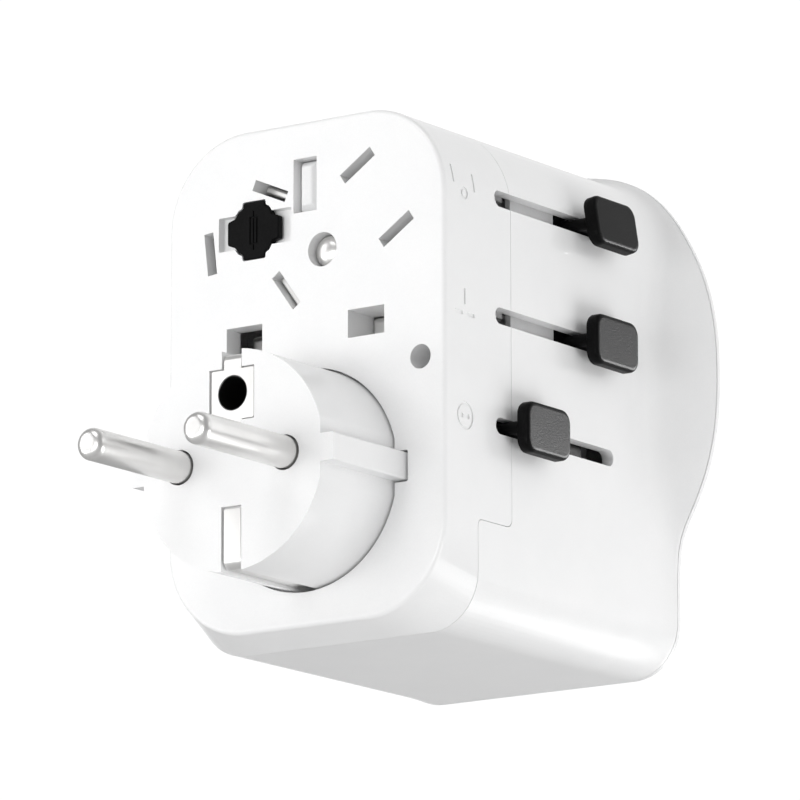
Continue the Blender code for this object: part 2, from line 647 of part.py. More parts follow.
def build_uk_set():
    carrier = guide("uk_guide", (0, 0, UK_Z))
    build_slider("uk_slider", UK_SLOT_Z, 1, 0, 0, carrier)
    plate = [(-16.4, 42.7), (19.5, 42.7), (19.5, 49.2), (1.3, 49.2), (1.3, 54.0), (0.35, 54.6), (0.35, 62.6),
             (2.3, 63.2), (2.3, 72.6), (-2.3, 72.6), (-2.3, 57.7), (-0.7, 56.4), (-0.7, 49.2), (-16.4, 49.2)]
    carriage = place("uk_carriage", prism(plate, CARRIAGE_NEAR, CARRIAGE_FAR), "inner_plastic", carrier)
    add(carriage, *rail(UK_SLOT_Z, 1))
    tip = FRONT + UK_SUNK
    for name, sign in (("uk_line_pin", 1), ("uk_neutral_pin", -1)):
        centre = (sign * UK_SPACING, UK_Z)
        end, outline = rectangle(centre, 4.8, 2.4), rectangle(centre, *UK_PIN)
        pin = loft([(end, tip), (outline, tip + 1.0), (outline, CARRIAGE_NEAR - GAP)])
        place(name, pin, "nickel", carrier)
    tip, centre = FRONT + UK_EARTH_SUNK, (0, UK_Z + UK_EARTH_RISE)
    end, outline = rectangle(centre, 1.8, 5.9), rectangle(centre, *UK_EARTH)
    pin = loft([(end, tip), (outline, tip + 1.5), (outline, CARRIAGE_NEAR - GAP)])
    place("uk_earth_pin", pin, "inner_plastic", carrier)


def build_au_set():
    carrier = guide("au_guide", (AU_CENTRE[0], 0, AU_CENTRE[1]))
    build_slider("au_slider", AU_SLOT_Z, -1, 0, 0, carrier)
    plate = [(-19.5, 50.0), (-1.0, 49.8), (-1.0, 55.2), (-2.7, 56.6), (-2.7, 72.6), (-9.5, 75.0),
             (-19.5, 68.0)]
    carriage = place("au_carriage", prism(plate, CARRIAGE_NEAR, CARRIAGE_FAR), "inner_plastic", carrier)
    add(carriage, *rail(AU_SLOT_Z, -1))
    cut(carriage, prism(circle((FUSE_X, FUSE_Z), 4.4), CARRIAGE_NEAR - 2, CARRIAGE_FAR + 2))
    names = ("au_line_blade", "au_neutral_blade", "au_earth_blade")
    for name, (centre, turn), sunk in zip(names, au_points(), AU_SUNK):
        place(name, blade(centre, turn, sunk), "nickel", carrier)


def build_eu_set():
    """The round European module, pushed out at rest."""
    face = FRONT - EU_EXTENSION
    carrier = guide("eu_guide", (0, face, EU_Z))
    collar_near, collar_far = FRONT + 2.6, FRONT + 5.1
    build_slider("eu_slider", EU_SLOT_Z, 1, -TRAVEL, 0, carrier)

    module = place("eu_module", prism(module_outline(), face, collar_far), "white_plastic", carrier)
    add(module, prism(circle((0, EU_Z), EU_RADIUS + 1.2), collar_near, collar_far))
    cut(module, prism(circle((0, EU_Z), EU_RADIUS - 2.2), face + 2.5, collar_far + 2))
    recess = 0.9
    cut(module, box((-1.8, 1.8), (face - 1, collar_far + 1), (EU_Z + 15.2, EU_Z + 18)),
        box((-1.8, 1.8), (face - 1, collar_far + 1), (EU_Z - 18, EU_Z - 15.2)))
    cut(module, box((-1.8, 1.8), (face - 1, face + recess), (EU_Z + 3.0, EU_Z + 17)),
        box((-1.8, 1.8), (face - 1, face + recess), (EU_Z - 17, EU_Z - 6.8)))
    cut(module, box((-4.05, 4.05), (face - 1, face + recess), (EU_Z + 5.8, EU_Z + 13.7)))
    for x in (EU_PIN_SPACING, -EU_PIN_SPACING):
        cut(module, prism(circle((x, EU_Z), EU_PIN_RADIUS + 0.2, 24), face - 1, face + 5))
    cut(module, prism(circle((0, EU_Z + 10), 2.9, 24), face - 1, face + 5))

    for name, x in (("eu_line_pin", EU_PIN_SPACING), ("eu_neutral_pin", -EU_PIN_SPACING)):
        tip = face - EU_PIN_LENGTH
        profile = [(1.5, tip), (2.05, tip + 0.25), (2.32, tip + 0.65), (2.4, tip + 1.1), (2.4, face + 9)]
        place(name, turned((x, EU_Z), profile, 32), "nickel", carrier)

    sheet, strap = (face + 0.35, face + 0.65), (face + 0.35, collar_near - 2.0)
    plate = prism(rectangle((0, EU_Z + 9.75), 7.5, 7.3), *sheet)
    top = place("eu_earth_clip_top", plate, "nickel", carrier)
    add(top, box((-1.5, 1.5), sheet, (EU_Z + 3.3, EU_Z + 15.9)))
    add(top, box((-1.5, 1.5), strap, (EU_Z + 15.5, EU_Z + 16.0)))
    cut(top, prism(circle((0, EU_Z + 10), 2.62, 32), face - 1, face + 3))
    plate = box((-1.5, 1.5), sheet, (EU_Z - 16.0, EU_Z - 7.1))
    bottom = place("eu_earth_clip_bottom", plate, "nickel", carrier)
    add(bottom, box((-1.5, 1.5), strap, (EU_Z - 16.0, EU_Z - 15.5)))
    sleeve = tube((0, EU_Z + 10), 2.6, 2.1, face + 1.0, face + 14, 32)
    place("eu_earth_sleeve", sleeve, "nickel", carrier)

    ring = tube((0, EU_Z), EU_RADIUS + 0.8, EU_RADIUS - 2.6, collar_far + GAP, collar_far + 2.8)
    carriage = place("eu_carriage", ring, "inner_plastic", carrier)
    arm = box((15.0, RAIL_X[1]), (collar_far + GAP + 0.1, collar_far + 2.7), (EU_SLOT_Z - 3.0, EU_SLOT_Z + 2.2))
    add(carriage, arm)
    add(carriage, *rail(EU_SLOT_Z, 1, -TRAVEL))


# ---- the fuse, the busbars and the fasteners --------------------------------------------------------
def build_fuse():
    place("fuse_barrel", tube((FUSE_X, FUSE_Z), 4.0, 3.1, FRONT + 2.6, -1.2, 32), "inner_plastic")
    carrier = guide("fuse_guide", (FUSE_X, FRONT, FUSE_Z))
    cap = place("fuse_cap", prism(fuse_cap_outline(), FRONT - 0.1, FRONT + 1.0), "black_plastic", carrier)
    add(cap, prism(circle((FUSE_X, FUSE_Z), 2.75, 24), FRONT + 0.8, FRONT + 4.0))
    near, far = FRONT + 4.4, FRONT + 24.4
    cartridge = turned((FUSE_X, FUSE_Z), [(2.55, near), (2.55, far)], 24)
    place("fuse_cartridge", cartridge, "ceramic", carrier)
    spring = coil((FUSE_X, FUSE_Z), 1.9, 0.25, far + 0.4, -1.6, 4)
    place("fuse_spring", spring, "spring_steel")


def build_busbars():
    """Strips that join the socket's contacts to the fuse and to the plug sets."""
    leg = [(-2.6, 14.0), (0.6, 14.0), (0.6, 38.4), (11.0, 38.4), (11.0, 38.7), (-0.2, 38.7)]
    leg += [(-0.2, 14.6), (-2.6, 14.6)]
    for name, x in (("line_busbar", 9.5), ("neutral_busbar", -9.5)):
        place(name, prism_x(leg, x - 2.0, x + 2.0), "brass")
    place("earth_busbar", box((-1.5, 1.5), (0.1, 0.7), (5.0, 38.6)), "brass")
    place("interlock_bar", box((17.6, 18.7), (14.2, 16.1), (27.0, 64.0)), "inner_plastic")


def build_screws():
    near = FRONT + 7.4
    shank, head = 0.95, 1.6
    profile = [(1.0, near), (head, near + 0.4), (head, near + 1.2), (shank, near + 1.3), (shank, near + 13.0)]
    for name, side in (("cover_screw_right", 1), ("cover_screw_left", -1)):
        x = side * SCREW_X
        screw = place(name, turned((x, SCREW_Z), profile, 20), "spring_steel")
        cut(screw, box((x - 0.8, x + 0.8), (near - 1, near + 0.5), (SCREW_Z - 0.2, SCREW_Z + 0.2)))


def main():
    for thing in list(bpy.data.objects):
        bpy.data.objects.remove(thing)
    build_front_cover()
    build_main_housing()
    build_rear_plate()
    build_socket_parts()
    build_shutter()
    build_us_set()
    build_uk_set()
    build_au_set()
    build_eu_set()
    build_fuse()
    build_busbars()
    build_screws()


main()
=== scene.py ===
"""Universal travel adapter: detailed visible pieces, finishes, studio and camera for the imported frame."""

import json
import math

import bmesh
import bpy
from mathutils import Matrix, Vector


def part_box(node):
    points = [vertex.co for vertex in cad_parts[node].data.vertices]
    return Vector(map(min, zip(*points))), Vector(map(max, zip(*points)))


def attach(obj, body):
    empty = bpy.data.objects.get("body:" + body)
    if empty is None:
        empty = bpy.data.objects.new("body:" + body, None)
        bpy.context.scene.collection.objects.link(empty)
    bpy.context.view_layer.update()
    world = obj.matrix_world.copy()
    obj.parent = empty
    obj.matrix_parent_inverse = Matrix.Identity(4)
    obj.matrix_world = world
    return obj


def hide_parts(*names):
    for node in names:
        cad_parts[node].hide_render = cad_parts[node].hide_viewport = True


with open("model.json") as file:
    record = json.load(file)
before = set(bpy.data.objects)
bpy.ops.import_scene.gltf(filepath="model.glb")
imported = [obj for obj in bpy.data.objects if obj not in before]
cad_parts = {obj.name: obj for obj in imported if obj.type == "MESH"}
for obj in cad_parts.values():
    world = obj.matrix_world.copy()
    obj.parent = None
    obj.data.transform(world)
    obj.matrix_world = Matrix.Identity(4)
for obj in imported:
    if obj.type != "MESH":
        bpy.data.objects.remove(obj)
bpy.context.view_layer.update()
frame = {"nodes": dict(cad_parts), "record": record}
NODES = frame["nodes"]
BODY_OF = {name: body for body, names in frame["record"]["behaviour"]["bodies"].items() for name in names}
SLOT_OF = {part["node"]: part["material_slot"] for part in frame["record"]["subparts"]}
MM = 0.001


def box_mm(node):
    """A CAD node's lowest and highest corner, in millimetres."""
    low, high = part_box(node)
    return low / MM, high / MM


def centre_xz(node):
    """The middle of a CAD node seen along Y, in millimetres."""
    low, high = box_mm(node)
    return ((low.x + high.x) / 2, (low.z + high.z) / 2)


# Sizes are in millimetres. The wall face is at the front, and depths are measured back from it.
COVER, PLATE, MODULE = box_mm("front_cover"), box_mm("rear_plate"), box_mm("eu_module")
FRONT, REAR = COVER[0].y, PLATE[1].y
DEPTH = REAR - FRONT
HALF_WIDTH, HEIGHT = COVER[1].x, COVER[1].z
FLANGE_HALF_WIDTH, FLANGE_HALF_HEIGHT, FLANGE_Z = PLATE[1].x, 34.3, 45.75
EU_FACE, EU_Z = MODULE[0].y, centre_xz("eu_line_pin")[1]

# The casing's surface: corner radii, the wall face's rounded edge, the flare and the flange's rim.
CORNER, LOW_CORNER, LOW_RISE = 14.0, 8.2, 1.35
EDGE = 0.7
WALL = 2.0
FLANGE_POWER, FLANGE_BLEND = 2.3, 24
FLARE_START, FLARE_POWER, FLARE_EASE = 49.5, 1.9, 2.5
FLARE_BASE, FLARE_GAIN = 0.72, 0.28
RIM, RIM_ROUND, LIP = 0.9, 0.3, 0.8
ANGLES = 360
RING_STEP, RING_MARGIN = 0.55, 0.3

# The stepped seam between the cover and the housing.
UPPER_SEAM, LOWER_SEAM, STEP_Z = 17.05, 8.3, 15.9
SEAM_GAP = 0.09
STEP_OUTER, STEP_INNER = 1.3, 1.0

# Openings in the wall face, the screws behind it and the tunnels that guide the pins.
BLADE_SLOT = (6.5, 1.7)
UK_SLOT, UK_EARTH_SLOT = (6.58, 4.24), (4.24, 8.24)
GROUND_HOLE = 2.6
TUNNEL_WALL = 0.8
MODULE_GAP = 0.3
FUSE_RECESS, FUSE_RECESS_DEPTH = (13.4, 5.2), 1.4
FUSE_SHIFT = (0.18, 0.04)
FUSE_CAP_GAP, FUSE_BORE = 0.15, 3.35
SCREW_BOSS, SCREW_WELL, SCREW_SHAFT = 2.8, 1.83, 1.2
SCREW_WELL_DEPTH, SCREW_BOSS_DEPTH = 8.9, 16.9
SCREW_BLOCK = 2.4

# Sliders: each one's wall (1 right, -1 left) and height; the module's is a full travel forward at rest.
SLOT_ROWS = {"us_slider": 1, "uk_slider": 1, "eu_slider": 1, "au_slider": -1}
SLOT_Z = {"us_slider": 65.05, "uk_slider": 47.3, "eu_slider": 30.72, "au_slider": 56.5}
SLOT_NEAR, SLOT_FAR, SLOT_HEIGHT = 13.0, 44.0, 2.5
SLOT_INSIDE, SLOT_OUTSIDE = 17, 34
TONGUE_X, TONGUE_BACK = (20.7, 21.1), -9.8
TONGUE_BELOW, TONGUE_ABOVE = 1.1, 2.6
KNOB_LENGTH, KNOB_HEIGHT, KNOB_NEAR, KNOB_FAR = 11.4, 7.7, 27.1, 29.2
KNOB_Y, KNOB_TRAVEL, KNOB_RADIUS = 9.15, 18.4, 2.05
US_KNOB_TILT = math.radians(9)

# The recessed socket, and the round module with its earth contacts.
SOCKET_RADIUS, SOCKET_DEPTH = 19.6, 12.0
EARTH_OFFSET = 10
CLIP_RADIUS = 15.72
NOTCH_HALF_WIDTH = 1.8

PIN_NOSE = 1.35
CAP_FACE = FRONT - 0.1
ROUND = 96


# ---- materials ------------------------------------------------------------------------------------
def node(tree, kind, **inputs):
    """A new shader node with some of its inputs set; an underscore stands for a space in their names."""
    made = tree.nodes.new(kind)
    for name, value in inputs.items():
        made.inputs[name.replace("_", " ")].default_value = value
    return made


def maths(tree, operation, first, second):
    """A maths node fed by a socket and by a second socket or a constant."""
    made = node(tree, "ShaderNodeMath")
    made.operation = operation
    tree.links.new(first, made.inputs[0])
    if isinstance(second, float):
        made.inputs[1].default_value = second
    else:
        tree.links.new(second, made.inputs[1])
    return made.outputs[0]


def two_tone(tree, mask, dark, light, margin):
    """A colour that runs from dark to light as mask goes from margin to 1 - margin."""
    ramp = tree.nodes.new("ShaderNodeValToRGB")
    low_stop, high_stop = ramp.color_ramp.elements
    low_stop.position, high_stop.position = margin, 1 - margin
    low_stop.color, high_stop.color = (*dark, 1), (*light, 1)
    tree.links.new(mask, ramp.inputs["Fac"])
    return ramp.outputs["Color"]


def uneven(tree, mask, low, high):
    """A value that runs from low to high as mask goes from 0 to 1."""
    spread = node(tree, "ShaderNodeMapRange", To_Min=low, To_Max=high)
    tree.links.new(mask, spread.inputs["Value"])
    return spread.outputs["Result"]


def relief(tree, height, strength, distance, normal=None):
    """A bump, on top of another one if its normal is given."""
    made = node(tree, "ShaderNodeBump", Strength=strength, Distance=distance)
    tree.links.new(height, made.inputs["Height"])
    if normal is not None:
        tree.links.new(normal, made.inputs["Normal"])
    return made.outputs["Normal"]


def new_material(name):
    """A material's node tree, its shader, its object coordinates and the material itself."""
    material = bpy.data.materials.new(name)
    material.use_nodes = True
    tree = material.node_tree
    place = tree.nodes.new("ShaderNodeTexCoord").outputs["Object"]
    return tree, tree.nodes["Principled BSDF"], place, material


def plastic(name, dark, light, roughness, grain, bump, peel=0.0, spread=0.06, coat=0.0, specular=0.5):
    """Moulded plastic: mottled colour, uneven gloss, spark-eroded grain and a slow moulding ripple."""
    tree, shader, place, material = new_material(name)
    cloud = node(tree, "ShaderNodeTexNoise", Scale=90.0, Detail=4.0, Roughness=0.6)
    fine = node(tree, "ShaderNodeTexNoise", Scale=grain, Detail=3.0, Roughness=0.55)
    slow = node(tree, "ShaderNodeTexNoise", Scale=260.0, Detail=1.0, Roughness=0.4)
    for texture in (cloud, fine, slow):
        tree.links.new(place, texture.inputs["Vector"])
    total = maths(tree, "ADD", cloud.outputs["Fac"], fine.outputs["Fac"])
    mottle = maths(tree, "MULTIPLY", total, 0.5)
    tree.links.new(two_tone(tree, mottle, dark, light, 0.35), shader.inputs["Base Color"])
    gloss = uneven(tree, mottle, roughness - spread, roughness + spread)
    tree.links.new(gloss, shader.inputs["Roughness"])
    normal = relief(tree, fine.outputs["Fac"], bump, 0.00006)
    if peel:
        normal = relief(tree, slow.outputs["Fac"], peel, 0.0002, normal)
    tree.links.new(normal, shader.inputs["Normal"])
    shader.inputs["Specular IOR Level"].default_value = specular
    shader.inputs["Coat Weight"].default_value = coat
    shader.inputs["Coat Roughness"].default_value = 0.12
    return material


def metal(name, dark, light, roughness, stretch, scratch, bump):
    """Plated or stamped metal: drawn lines along the stretch axis, cloudy tarnish and uneven gloss."""
    tree, shader, place, material = new_material(name)
    shader.inputs["Metallic"].default_value = 1.0
    squeeze = node(tree, "ShaderNodeMapping", Scale=stretch)
    tree.links.new(place, squeeze.inputs["Vector"])
    lines = node(tree, "ShaderNodeTexNoise", Scale=scratch, Detail=4.0, Roughness=0.65)
    tree.links.new(squeeze.outputs["Vector"], lines.inputs["Vector"])
    cloud = node(tree, "ShaderNodeTexNoise", Scale=140.0, Detail=3.0, Roughness=0.5)
    tree.links.new(place, cloud.inputs["Vector"])
    tree.links.new(two_tone(tree, cloud.outputs["Fac"], dark, light, 0.3), shader.inputs["Base Color"])
    gloss = uneven(tree, lines.outputs["Fac"], roughness - 0.06, roughness + 0.08)
    tree.links.new(gloss, shader.inputs["Roughness"])
    tree.links.new(relief(tree, lines.outputs["Fac"], bump, 0.00004), shader.inputs["Normal"])
    return material


WHITE = plastic("white_shell", (0.86, 0.862, 0.865), (0.90, 0.90, 0.90), 0.32, 5200, 0.10,
                peel=0.05, spread=0.05, coat=0.25)
INNER = plastic("white_inner", (0.80, 0.80, 0.805), (0.85, 0.85, 0.85), 0.42, 4200, 0.2, peel=0.08)
BLACK = plastic("black_grained", (0.003, 0.003, 0.0032), (0.007, 0.007, 0.0072), 0.38, 4200, 0.5,
                spread=0.1, specular=0.05)
GLOSS = plastic("black_gloss", (0.006, 0.006, 0.006), (0.012, 0.012, 0.012), 0.16, 3000, 0.05,
                peel=0.05, spread=0.04)
CERAMIC = plastic("fuse_ceramic", (0.74, 0.72, 0.68), (0.82, 0.80, 0.76), 0.3, 2600, 0.15, peel=0.1)
FLOOR = plastic("floor_paper", (0.58, 0.58, 0.58), (0.62, 0.62, 0.62), 0.75, 900, 0.3, spread=0.05)
NICKEL = metal("nickel_plate", (0.74, 0.735, 0.725), (0.82, 0.815, 0.805), 0.3, (1, 0.03, 1), 5200, 0.12)
BRASS = metal("stamped_brass", (0.68, 0.50, 0.22), (0.84, 0.66, 0.34), 0.3, (0.08, 1, 1), 3600, 0.2)
STEEL = metal("zinc_steel", (0.48, 0.48, 0.50), (0.62, 0.62, 0.63), 0.32, (1, 1, 0.1), 3600, 0.2)
SLOTS = {"housing_white": WHITE, "inner_white": INNER, "black_plastic": BLACK, "nickel": NICKEL,
         "brass": BRASS, "spring_steel": STEEL, "ceramic": CERAMIC}


# ---- mesh helpers, all in millimetres --------------------------------------------------------------
def arc(centre, radius, start, end, steps):
    """Points along an arc; its ends are in degrees."""
    points = []
    for i in range(steps + 1):
        angle = math.radians(start + (end - start) * i / steps)
        points.append((centre[0] + radius * math.cos(angle), centre[1] + radius * math.sin(angle)))
    return points


def circle(centre, radius, sides=ROUND):
    return arc(centre, radius, 0, 360 - 360 / sides, sides - 1)


def rectangle(centre, width, height, turn=0.0, radius=0.0, steps=8):
    """A rectangle, turned by an angle in radians, with square or rounded corners."""
    half_w, half_h = width / 2, height / 2
    if radius:
        points = []
        for sx, sy, start in ((1, 1, 0), (-1, 1, 90), (-1, -1, 180), (1, -1, 270)):
            points += arc((sx * (half_w - radius), sy * (half_h - radius)), radius, start, start + 90, steps)
    else:
        points = [(half_w, half_h), (-half_w, half_h), (-half_w, -half_h), (half_w, -half_h)]
    c, s = math.cos(turn), math.sin(turn)
    return [(centre[0] + c * x - s * y, centre[1] + s * x + c * y) for x, y in points]


def rounded(points, radius, steps=5):
    """A polygon with each corner rounded; points run counter-clockwise."""
    result = []
    count = len(points)
    for i, point in enumerate(points):
        here = Vector(point)
        before = Vector(points[i - 1]) - here
        after = Vector(points[(i + 1) % count]) - here
        limit = min(before.length, after.length) * 0.45
        half = before.angle(after) / 2
        if abs(half - math.pi / 2) < 0.01:
            result.append(point)
            continue
        reach = min(radius / math.tan(half), limit)
        start, end = here + before.normalized() * reach, here + after.normalized() * reach
        for k in range(steps + 1):
            t = k / steps
            bend = start * (1 - t) ** 2 + here * 2 * t * (1 - t) + end * t ** 2
            result.append((bend.x, bend.y))
    return result


def loft(rings, close=True):
    """A solid through rings of (outline in X and Z, y); without close, the last ring joins the first."""
    mesh = bmesh.new()
    loops = []
    for outline, y in rings:
        loops.append([mesh.verts.new((x * MM, y * MM, z * MM)) for x, z in outline])
    if close:
        mesh.faces.new(loops[0])
        mesh.faces.new(list(reversed(loops[-1])))
    count = len(loops[0])
    pairs = list(zip(loops, loops[1:])) if close else list(zip(loops, loops[1:] + loops[:1]))
    for near, far in pairs:
        for i in range(count):
            j = (i + 1) % count
            mesh.faces.new((near[i], far[i], far[j], near[j]))
    bmesh.ops.recalc_face_normals(mesh, faces=mesh.faces)
    return mesh


def prism(outline, near, far):
    """A solid with an outline in X and Z, between two places along Y."""
    return loft([(outline, near), (outline, far)])


def cuboid(xs, ys, zs):
    return prism([(xs[0], zs[0]), (xs[1], zs[0]), (xs[1], zs[1]), (xs[0], zs[1])], *ys)


SHARP_ANGLE = math.radians(38)
SWAP_XY = Matrix(((0, 1, 0, 0), (1, 0, 0, 0), (0, 0, 1, 0), (0, 0, 0, 1)))


def sideways(mesh):
    """Swaps a solid's X and Y, so that a prism's outline is in Y and Z and its depth is along X."""
    bmesh.ops.transform(mesh, matrix=SWAP_XY, verts=mesh.verts)
    bmesh.ops.recalc_face_normals(mesh, faces=mesh.faces)
    return mesh


def turned(centre, profile, sides=ROUND):
    """A solid turned about a Y axis; profile is a list of (radius, y)."""
    return loft([(circle(centre, radius, sides), y) for radius, y in profile])


def tube(centre, profile, sides=ROUND):
    """A closed ring turned about a Y axis; profile is a closed loop of (radius, y)."""
    return loft([(circle(centre, radius, sides), y) for radius, y in profile], close=False)


def raw(name, mesh):
    """An object made from a bmesh, which is freed."""
    data = bpy.data.meshes.new(name)
    mesh.to_mesh(data)
    mesh.free()
    thing = bpy.data.objects.new(name, data)
    bpy.context.scene.collection.objects.link(thing)
    return thing


def apply_all(thing):
    """Replaces an object's mesh with its evaluated one, modifiers included."""
    bpy.context.view_layer.update()
    evaluated = thing.evaluated_get(bpy.context.evaluated_depsgraph_get())
    data = bpy.data.meshes.new_from_object(evaluated)
    thing.modifiers.clear()
    thing.data = data
    return thing


def combine(thing, operation, *meshes):
    """Applies one exact Boolean for each tool mesh and deletes the tools."""
    tools = []
    for mesh in meshes:
        tool = raw(thing.name + "_tool", mesh)
        modifier = thing.modifiers.new("tool", "BOOLEAN")
        modifier.operation = operation
        modifier.object = tool
        tools.append(tool)
    apply_all(thing)
    for tool in tools:
        bpy.data.objects.remove(tool)
    return thing


def cut(thing, *meshes):
    return combine(thing, "DIFFERENCE", *meshes)


def add(thing, *meshes):
    return combine(thing, "UNION", *meshes)


def finish_piece(thing, material, body, replaced=(), bevel=0.0, angle=30.0):
    """Bevels the sharp edges, smooths the shading, and gives the piece its material and body."""
    if bevel:
        modifier = thing.modifiers.new("edges", "BEVEL")
        modifier.width = bevel * MM
        modifier.segments = 2
        modifier.limit_method = "ANGLE"
        modifier.angle_limit = math.radians(angle)
        apply_all(thing)
    data = thing.data
    data.materials.clear()
    data.materials.append(material)
    data.shade_smooth()
    data.set_sharp_from_angle(angle=SHARP_ANGLE)
    weigh = thing.modifiers.new("weighted", "WEIGHTED_NORMAL")
    weigh.keep_sharp = True
    weigh.weight = 80
    apply_all(thing)
    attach(thing, body)
    if replaced:
        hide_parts(*replaced)
    return thing


def refine(node_name, bevel):
    """A copy of a CAD node with its edges broken, standing in for it."""
    thing = bpy.data.objects.new(node_name + "_detail", NODES[node_name].data.copy())
    bpy.context.scene.collection.objects.link(thing)
    mesh = bmesh.new()
    mesh.from_mesh(thing.data)
    bmesh.ops.remove_doubles(mesh, verts=mesh.verts, dist=1e-7)
    bmesh.ops.dissolve_limit(mesh, angle_limit=math.radians(1.0), verts=mesh.verts, edges=mesh.edges)
    mesh.to_mesh(thing.data)
    mesh.free()
    slot = SLOT_OF[node_name]
    return finish_piece(thing, SLOTS[slot], BODY_OF[node_name], [node_name], bevel)


# ---- the casing's surface ---------------------------------------------------------------------------
def body_radius(angle, behind, inset):
    """Distance from the flange's axis to the body's surface at a depth behind the wall face."""
    c, s = math.cos(angle), math.sin(angle)
    drawn_in = 1 - min(behind / LOWER_SEAM, 1.0)
    past = behind - FLARE_START
    rise = min(max(past / (DEPTH - RIM - FLARE_START), 0.0), 1.0)
    low_corner = LOW_CORNER + (CORNER - LOW_CORNER) * drawn_in
    half_w = HALF_WIDTH + LIP * rise ** 3 - inset
    radius = (CORNER if s > 0 else low_corner) - inset
    top, bottom = HEIGHT - inset - FLANGE_Z, inset + LOW_RISE * drawn_in - FLANGE_Z
    reach_w = half_w / abs(c) if abs(c) > 1e-9 else math.inf
    reach_h = (top if s > 0 else bottom) / s if abs(s) > 1e-9 else math.inf
    body = min(reach_w, reach_h)
    centre_x = half_w - radius
    centre_z = top - radius if s > 0 else bottom + radius
    if abs(c) * body > centre_x and abs(s) * body > abs(centre_z):
        along = abs(c) * centre_x + abs(s) * abs(centre_z)
        across = centre_x ** 2 + centre_z ** 2 - along ** 2
        body = along + math.sqrt(radius ** 2 - across)
    if past <= 0:
        return body
    shape = (abs(c) / FLANGE_HALF_WIDTH) ** FLANGE_POWER + (abs(s) / FLANGE_HALF_HEIGHT) ** FLANGE_POWER
    flange = (FLARE_BASE + FLARE_GAIN * rise ** FLARE_POWER) * shape ** (-1 / FLANGE_POWER) - inset
    blended = (body ** FLANGE_BLEND + flange ** FLANGE_BLEND) ** (1 / FLANGE_BLEND)
    ease = min(past / FLARE_EASE, 1.0)
    return body + (blended - body) * ease * ease * (3 - 2 * ease)


def body_outline(behind, inset=0.0):
    """The body's outline in X and Z at a depth behind the wall face, drawn in by an inset."""
    points = []
    for i in range(ANGLES):
        angle = 2 * math.pi * i / ANGLES
        radius = body_radius(angle, behind, inset)
        points.append((radius * math.cos(angle), FLANGE_Z + radius * math.sin(angle)))
    return points


def shell_rings(near, far, inset=0.0):
    """Rings of the body between two depths, with a rounded edge where it starts at the wall face."""
    rings = []
    if near == 0.0:
        for k in range(7):
            turn = math.radians(90 * (1 - k / 6))
            outline = body_outline(0, inset + EDGE * (1 - math.cos(turn)))
            rings.append((outline, FRONT + EDGE * (1 - math.sin(turn))))
    else:
        rings.append((body_outline(near, inset), FRONT + near))
    if near < LOWER_SEAM < far:
        rings.append((body_outline(LOWER_SEAM, inset), FRONT + LOWER_SEAM))
    depth = FLARE_START
    while depth < far - RING_MARGIN:
        if depth > near + RING_MARGIN:
            rings.append((body_outline(depth, inset), FRONT + depth))
        depth += RING_STEP
    rings.append((body_outline(far, inset), FRONT + far))
    return rings


def shell(near, far, inset=0.0):
    """The lofted body between two depths, its warped corner faces split into triangles."""
    mesh = loft(shell_rings(near, far, inset))
    bmesh.ops.triangulate(mesh, faces=[face for face in mesh.faces if len(face.verts) == 4])
    return mesh


def seam_region(behind):
    """The space behind (or in front of) the stepped seam, its step's corners rounded."""
    shift = -SEAM_GAP / 2 if behind else SEAM_GAP / 2
    upper, lower, step = FRONT + UPPER_SEAM + shift, FRONT + LOWER_SEAM + shift, STEP_Z - shift
    far = REAR + 5 if behind else FRONT - 5
    outline = [(lower, -5), (far, -5), (far, HEIGHT + 8), (upper, HEIGHT + 8)]
    outline += arc((upper - STEP_OUTER, step + STEP_OUTER), STEP_OUTER, 0, -90, 8)
    outline += arc((lower + STEP_INNER, step - STEP_INNER), STEP_INNER, 90, 180, 8)
    return sideways(prism(outline, -60, 60))


def side_slot(height, side):
    """A cutter for a slider's slot: round-ended, through the right wall (side 1) or the left (-1)."""
    near, far = FRONT + SLOT_NEAR, FRONT + SLOT_FAR
    centre = ((near + far) / 2, height)
    outline = rectangle(centre, far - near, SLOT_HEIGHT, radius=SLOT_HEIGHT / 2 - 0.01, steps=12)
    return sideways(prism(outline, *sorted((side * SLOT_INSIDE, side * SLOT_OUTSIDE))))


def side_slots():
    return [side_slot(SLOT_Z[name], side) for name, side in SLOT_ROWS.items()]


def module_outline(grow=0.0, steps=60):
    """The round module: a disc flattened at both sides, with a lug in the middle of each flat."""
    radius, flat, lug, lug_half, corner = 16.45 + grow, 15.9 + grow, 18.25 + grow, 2.05 + grow, 0.3
    half_angle = math.degrees(math.acos(flat / radius))
    points = []
    for start, sign in ((0, 1), (180, -1)):
        corner_x, corner_rise = sign * (lug - corner), sign * (lug_half - corner)
        points += [(sign * flat, EU_Z - sign * lug_half)]
        points += arc((corner_x, EU_Z - corner_rise), corner, start - 90, start, 4)
        points += arc((corner_x, EU_Z + corner_rise), corner, start, start + 90, 4)
        points += [(sign * flat, EU_Z + sign * lug_half)]
        points += arc((0, EU_Z), radius, start + half_angle, start + 180 - half_angle, steps)
    return points


BLADES = ("us_line_blade", "us_neutral_blade", "au_line_blade", "au_neutral_blade", "au_earth_blade")
BLADE_SIDE = (6.1 * MM, 6.25 * MM)
FUSE = centre_xz("fuse_cartridge")
SCREWS = [centre_xz("cover_screw_right"), centre_xz("cover_screw_left")]


def turn_of(node_name):
    """The angle of a blade's long side in X and Z, from the CAD mesh."""
    data = NODES[node_name].data
    best, angle = 0.0, 0.0
    for edge in data.edges:
        run = data.vertices[edge.vertices[1]].co - data.vertices[edge.vertices[0]].co
        flat = Vector((run.x, run.z))
        if abs(run.y) < 1e-6 and BLADE_SIDE[0] < flat.length < BLADE_SIDE[1] and flat.length > best:
            best, angle = flat.length, math.atan2(flat.y, flat.x)
    return angle


